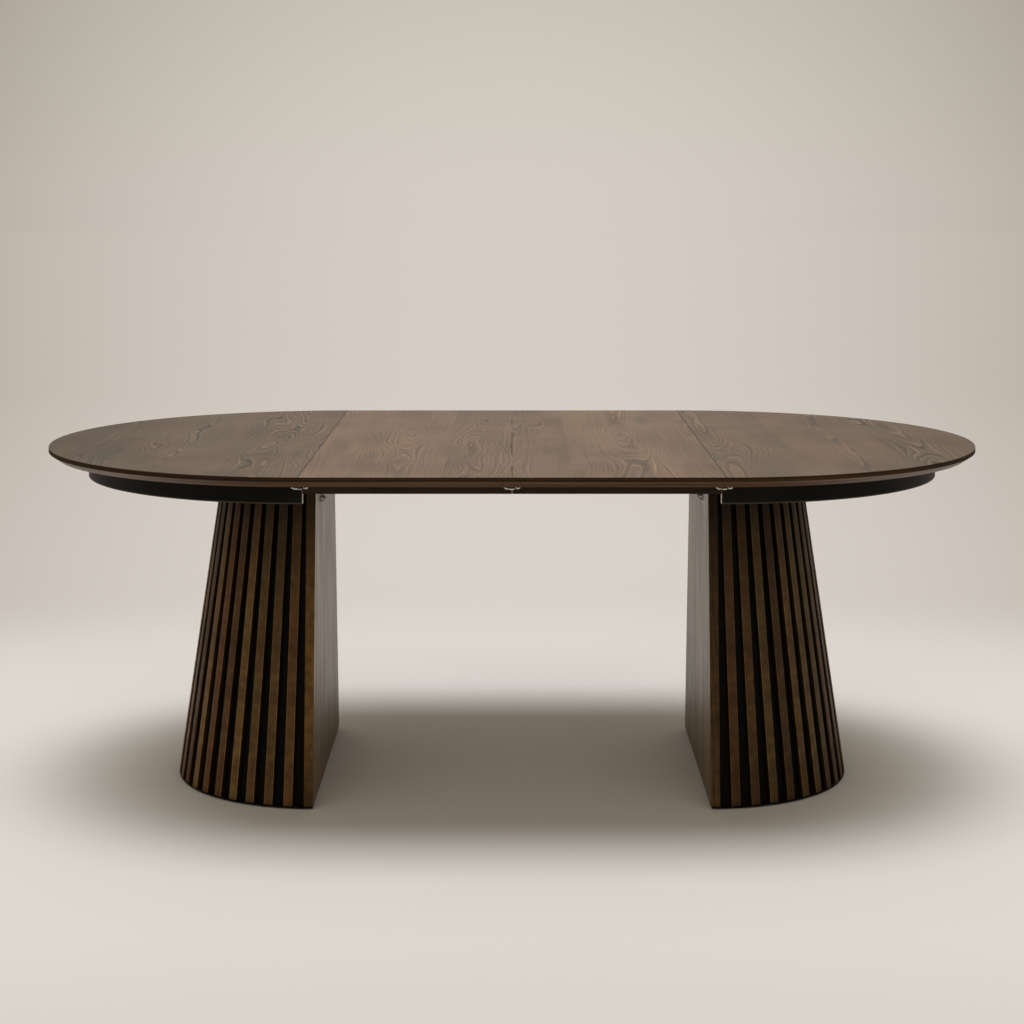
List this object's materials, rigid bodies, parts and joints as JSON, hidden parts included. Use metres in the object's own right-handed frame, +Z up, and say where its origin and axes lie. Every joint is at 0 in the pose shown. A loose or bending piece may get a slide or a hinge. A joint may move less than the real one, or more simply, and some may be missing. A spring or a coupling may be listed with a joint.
{
  "type": "extending dining table",
  "caption": "Round dining table on a split slatted cone base, pulled open on wooden runners with two leaves in, each seam held by hooked levers.",
  "frame": {"origin": "on the floor, under the middle of the table", "axes": "+X along the table's length, -Y towards the viewer in the picture, +Z up"},
  "size_m": [2.1098, 1.25, 0.765],
  "materials": {
    "top_oak": "open-grained oak stained grey-brown, matt lacquer",
    "batten_oak": "dark stained oak, matt",
    "slat_oak": "oak battens stained dark brown, matt",
    "board_oak": "oak veneer stained dark brown, satin",
    "black_stain": "board painted satin black",
    "runner_beech": "dark stained beech, waxed",
    "pale_softwood": "bare timber",
    "zinc_steel": "zinc plated",
    "black_plastic": "moulded nylon",
    "belt_rubber": "flat reinforced belt"
  },
  "bodies": {
    "centre_runners": {"front_centre_runner": "runner_beech", "rear_centre_runner": "runner_beech", "runner_belts": "belt_rubber", "pulley_axles": "zinc_steel", "runner_stop_screws": "zinc_steel"},
    "left_half": {"left_apron": "black_stain", "left_apron_blocks": "pale_softwood", "left_base_inner_board": "board_oak", "left_base_shell": "black_stain", "left_base_slats": "slat_oak", "left_base_formers": "pale_softwood", "left_base_bottom_plate": "black_stain", "left_base_mount_plate": "black_stain", "left_floor_glides": "black_plastic", "left_locating_pin_and_cup": "zinc_steel", "left_front_runner": "runner_beech", "left_rear_runner": "runner_beech", "left_belt_clamps": "black_plastic", "left_runner_stop_plates": "zinc_steel", "left_underside_screws": "zinc_steel", "left_top": "top_oak", "left_top_lock_plates": "zinc_steel"},
    "right_half": {"right_apron": "black_stain", "right_apron_blocks": "pale_softwood", "right_base_inner_board": "board_oak", "right_base_shell": "black_stain", "right_base_slats": "slat_oak", "right_base_formers": "pale_softwood", "right_base_bottom_plate": "black_stain", "right_base_mount_plate": "black_stain", "right_floor_glides": "black_plastic", "right_locating_pin_and_cup": "zinc_steel", "right_front_runner": "runner_beech", "right_rear_runner": "runner_beech", "right_belt_clamps": "black_plastic", "right_runner_stop_plates": "zinc_steel", "right_underside_screws": "zinc_steel", "right_top": "top_oak", "right_top_dowels": "pale_softwood", "right_top_lock_keepers": "zinc_steel"},
    "leaf_left": {"left_leaf": "top_oak", "left_leaf_dowels": "pale_softwood", "left_leaf_battens": "batten_oak", "left_leaf_lock_keepers": "zinc_steel", "left_leaf_lock_plates": "zinc_steel"},
    "leaf_right": {"right_leaf": "top_oak", "right_leaf_dowels": "pale_softwood", "right_leaf_battens": "batten_oak", "right_leaf_lock_keepers": "zinc_steel", "right_leaf_lock_plates": "zinc_steel"},
    "front_left_pulley_wheel": {"front_left_pulley": "black_plastic"},
    "front_right_pulley_wheel": {"front_right_pulley": "black_plastic"},
    "rear_left_pulley_wheel": {"rear_left_pulley": "black_plastic"},
    "rear_right_pulley_wheel": {"rear_right_pulley": "black_plastic"},
    "left_top_front_lever": {"left_top_front_lock_lever": "zinc_steel"},
    "left_top_rear_lever": {"left_top_rear_lock_lever": "zinc_steel"},
    "left_leaf_front_lever": {"left_leaf_front_lock_lever": "zinc_steel"},
    "left_leaf_rear_lever": {"left_leaf_rear_lock_lever": "zinc_steel"},
    "right_leaf_front_lever": {"right_leaf_front_lock_lever": "zinc_steel"},
    "right_leaf_rear_lever": {"right_leaf_rear_lock_lever": "zinc_steel"}
  },
  "joints": [
    {"name": "left_slide", "type": "slide", "parent": "centre_runners", "child": "left_half", "axis": [1, 0, 0], "range_m": [0, 0.43]},
    {"name": "right_slide", "type": "slide", "parent": "centre_runners", "child": "right_half", "axis": [-1, 0, 0], "range_m": [0, 0.43]},
    {"name": "left_leaf_lift", "type": "slide", "parent": "centre_runners", "child": "leaf_left", "axis": [0, 0, 1], "range_m": [0, 0.65]},
    {"name": "right_leaf_lift", "type": "slide", "parent": "centre_runners", "child": "leaf_right", "axis": [0, 0, 1], "range_m": [0, 0.65]},
    {"name": "front_left_pulley_spin", "type": "hinge", "parent": "centre_runners", "child": "front_left_pulley_wheel", "pos_m": [-0.36073, -0.2965, 0.709], "axis": [0, 0, 1], "range_deg": [-5, 2070]},
    {"name": "front_right_pulley_spin", "type": "hinge", "parent": "centre_runners", "child": "front_right_pulley_wheel", "pos_m": [0.36073, -0.2965, 0.709], "axis": [0, 0, 1], "range_deg": [-5, 2070]},
    {"name": "rear_left_pulley_spin", "type": "hinge", "parent": "centre_runners", "child": "rear_left_pulley_wheel", "pos_m": [-0.36073, 0.2965, 0.709], "axis": [0, 0, 1], "range_deg": [-5, 2070]},
    {"name": "rear_right_pulley_spin", "type": "hinge", "parent": "centre_runners", "child": "rear_right_pulley_wheel", "pos_m": [0.36073, 0.2965, 0.709], "axis": [0, 0, 1], "range_deg": [-5, 2070]},
    {"name": "left_top_front_lock", "type": "hinge", "parent": "left_half", "child": "left_top_front_lever", "pos_m": [-0.44, -0.585, 0.738], "axis": [0, 0, 1], "range_deg": [0, 90]},
    {"name": "left_top_rear_lock", "type": "hinge", "parent": "left_half", "child": "left_top_rear_lever", "pos_m": [-0.44, 0.585, 0.738], "axis": [0, 0, 1], "range_deg": [-90, 0]},
    {"name": "left_leaf_front_lock", "type": "hinge", "parent": "leaf_left", "child": "left_leaf_front_lever", "pos_m": [-0.01, -0.585, 0.738], "axis": [0, 0, 1], "range_deg": [0, 90]},
    {"name": "left_leaf_rear_lock", "type": "hinge", "parent": "leaf_left", "child": "left_leaf_rear_lever", "pos_m": [-0.01, 0.585, 0.738], "axis": [0, 0, 1], "range_deg": [-90, 0]},
    {"name": "right_leaf_front_lock", "type": "hinge", "parent": "leaf_right", "child": "right_leaf_front_lever", "pos_m": [0.42, -0.585, 0.738], "axis": [0, 0, 1], "range_deg": [0, 90]},
    {"name": "right_leaf_rear_lock", "type": "hinge", "parent": "leaf_right", "child": "right_leaf_rear_lever", "pos_m": [0.42, 0.585, 0.738], "axis": [0, 0, 1], "range_deg": [-90, 0]}
  ],
  "couplings": [
    {"joint": "right_slide", "follows": "left_slide", "ratio": 1},
    {"joint": "left_leaf_lift", "follows": "left_slide", "ratio": 1.5},
    {"joint": "right_leaf_lift", "follows": "left_slide", "ratio": 1.5},
    {"joint": "front_left_pulley_spin", "follows": "left_slide", "rad_per_m": 83.333},
    {"joint": "front_right_pulley_spin", "follows": "left_slide", "rad_per_m": 83.333},
    {"joint": "rear_left_pulley_spin", "follows": "left_slide", "rad_per_m": 83.333},
    {"joint": "rear_right_pulley_spin", "follows": "left_slide", "rad_per_m": 83.333}
  ]
}
